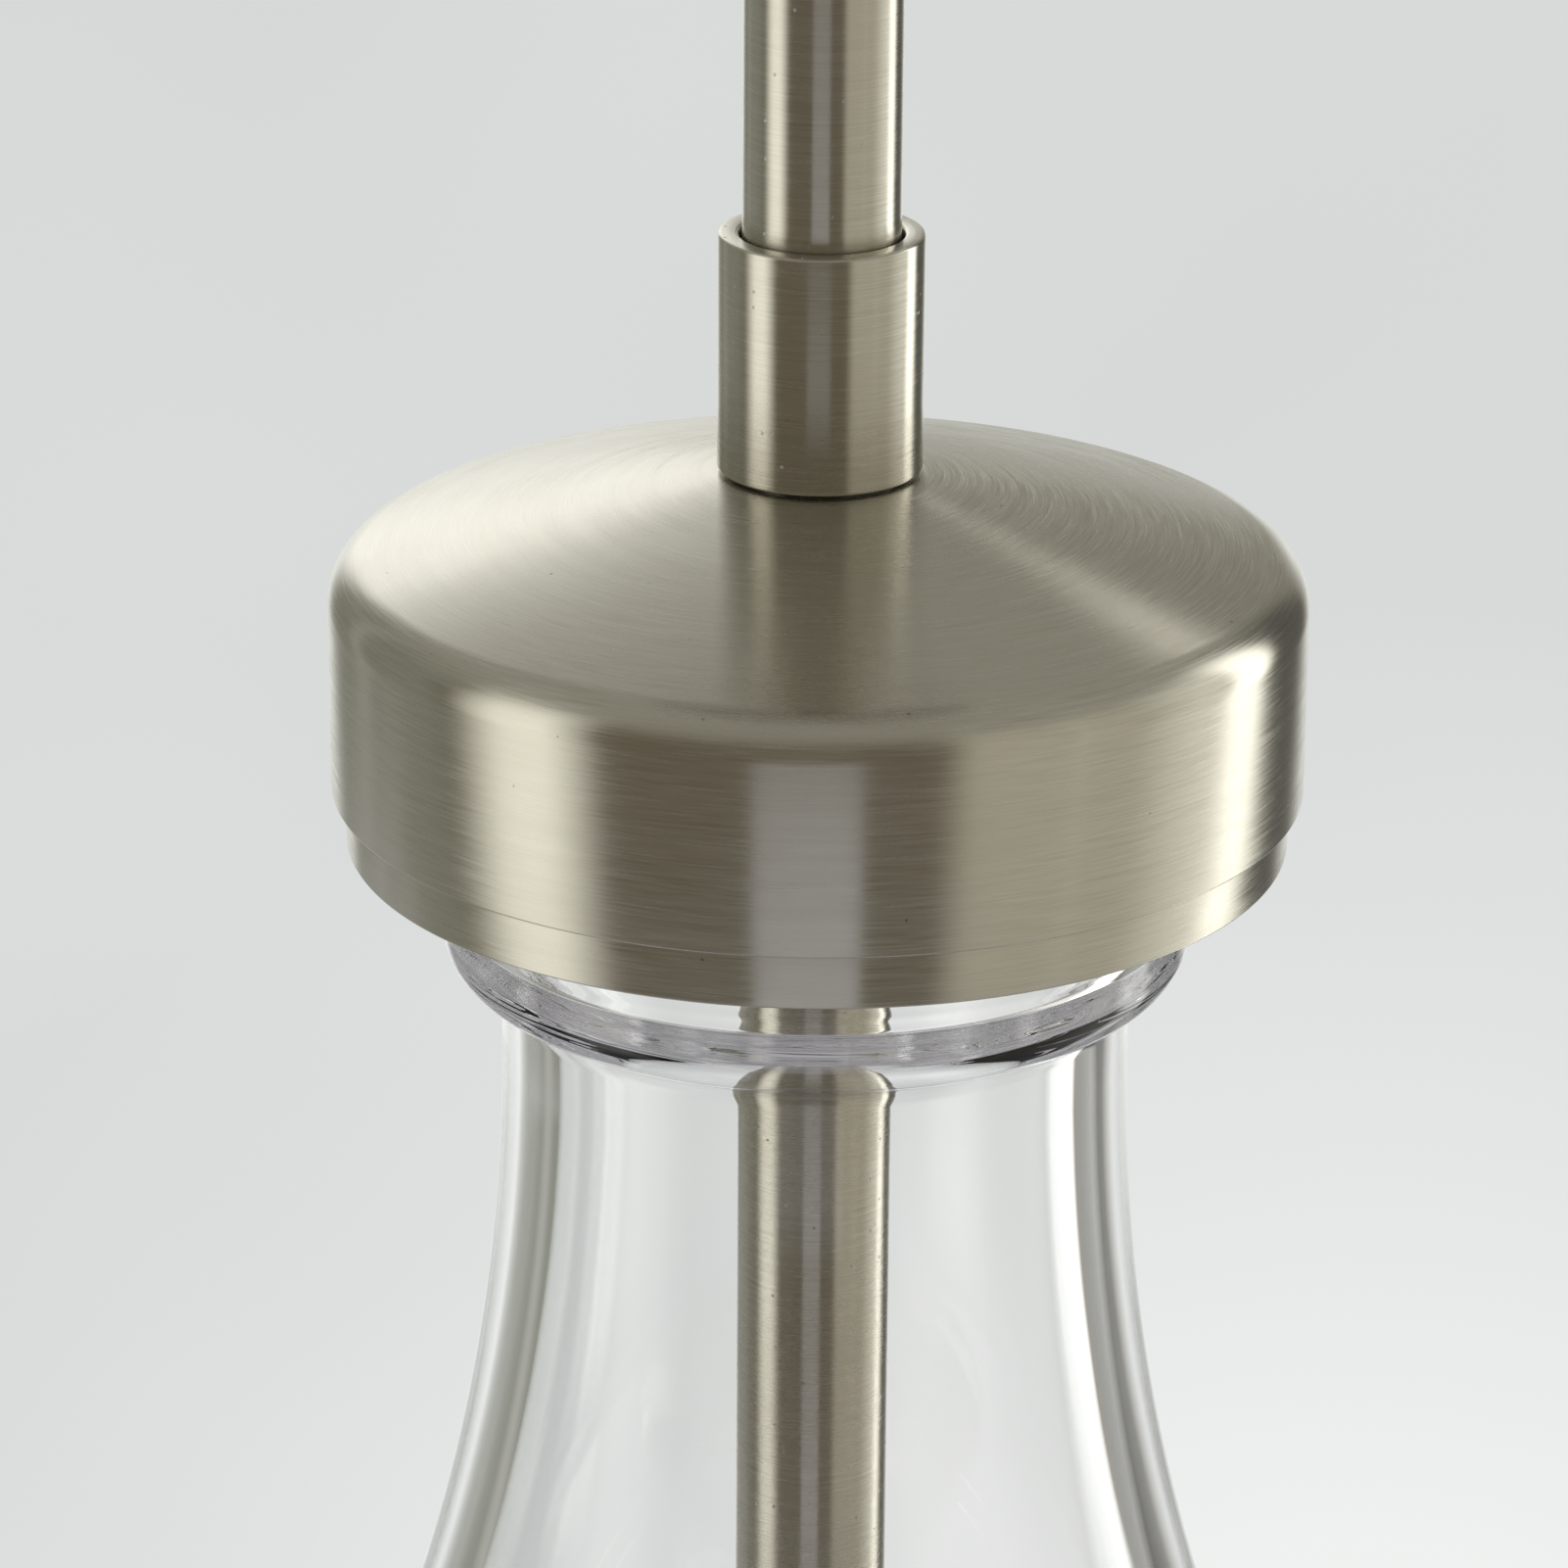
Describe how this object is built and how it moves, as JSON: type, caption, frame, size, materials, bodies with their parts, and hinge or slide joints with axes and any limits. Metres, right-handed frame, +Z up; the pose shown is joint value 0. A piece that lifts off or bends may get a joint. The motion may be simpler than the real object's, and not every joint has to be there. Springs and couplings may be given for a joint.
{
  "type": "pendant lamp",
  "caption": "Stem-hung pendant lamp: round canopy, swivel, rod, loose collar, conical cap and a clear glass bell round a single bulb.",
  "frame": {"origin": "middle of the mounting bracket's top face, on the ceiling, on the lamp's vertical axis", "axes": "+Z up, along the stem; +X along the bracket arm with the slots; -Y towards the front"},
  "size_m": [0.198, 0.198, 0.4686],
  "materials": {
    "satin_nickel": "satin nickel plate with fine circular brushing",
    "clear_glass": "clear blown glass, fire polished",
    "zinc_steel": "zinc plated steel",
    "brass": "plain brass",
    "rubber": "black rubber washer",
    "phenolic": "moulded phenolic",
    "aluminium": "thin pressed aluminium",
    "bulb_glass": "thin clear bulb glass",
    "filament": "phosphor coated filament sticks",
    "ground_green": "green painted screw",
    "live_jacket": "black wire insulation",
    "neutral_jacket": "white wire insulation"
  },
  "bodies": {
    "ceiling_mount": {"mounting_bracket": "zinc_steel", "ground_screw": "ground_green", "canopy_stud_front": "zinc_steel", "canopy_stud_rear": "zinc_steel", "stud_locknut_front": "zinc_steel", "stud_locknut_rear": "zinc_steel", "canopy": "satin_nickel", "swivel_housing": "satin_nickel", "swivel_locknut": "zinc_steel"},
    "front_nut": {"canopy_nut_front": "satin_nickel"},
    "rear_nut": {"canopy_nut_rear": "satin_nickel"},
    "swivel_ring": {"swivel_seat": "brass"},
    "pendant": {"swivel_ball": "satin_nickel", "upper_rod": "satin_nickel", "cap_stop_ring": "zinc_steel", "stop_ring_screw": "zinc_steel", "stem_nipple": "brass", "rod_locknut": "zinc_steel", "glass_holder": "satin_nickel", "upper_gasket": "rubber", "glass_shade": "clear_glass", "lower_gasket": "rubber", "retaining_washer": "zinc_steel", "retaining_nut": "zinc_steel", "inner_tube": "satin_nickel", "socket_nipple": "brass", "socket_cup": "satin_nickel", "socket_locknut": "zinc_steel", "socket_insulator": "phenolic", "screw_shell": "brass", "centre_contact": "brass", "live_lead": "live_jacket", "neutral_lead": "neutral_jacket"},
    "cap": {"cap_shell": "satin_nickel"},
    "sleeve": {"collar": "satin_nickel"},
    "bulb": {"bulb_contact": "brass", "bulb_base": "aluminium", "bulb_glass": "bulb_glass", "bulb_stem": "bulb_glass", "filaments": "filament"}
  },
  "joints": [
    {"name": "front_nut_spin", "type": "hinge", "parent": "ceiling_mount", "child": "front_nut", "pos_m": [0, -0.04445, -0.0268], "axis": [0, 0, 1], "continuous": true},
    {"name": "rear_nut_spin", "type": "hinge", "parent": "ceiling_mount", "child": "rear_nut", "pos_m": [0, 0.04445, -0.0268], "axis": [0, 0, 1], "continuous": true},
    {"name": "swivel_turn", "type": "hinge", "parent": "ceiling_mount", "child": "swivel_ring", "pos_m": [0, 0, -0.0265], "axis": [0, 0, 1], "range_deg": [-170, 170]},
    {"name": "swivel_tilt", "type": "hinge", "parent": "swivel_ring", "child": "pendant", "pos_m": [0, 0, -0.0265], "axis": [1, 0, 0], "range_deg": [-20, 20]},
    {"name": "cap_lift", "type": "slide", "parent": "pendant", "child": "cap", "axis": [0, 0, 1], "range_m": [0, 0.05]},
    {"name": "collar_lift", "type": "slide", "parent": "cap", "child": "sleeve", "axis": [0, 0, 1], "range_m": [0, 0.045]},
    {"name": "bulb_withdraw", "type": "slide", "parent": "pendant", "child": "bulb", "axis": [0, 0, -1], "range_m": [0, 0.155]}
  ]
}
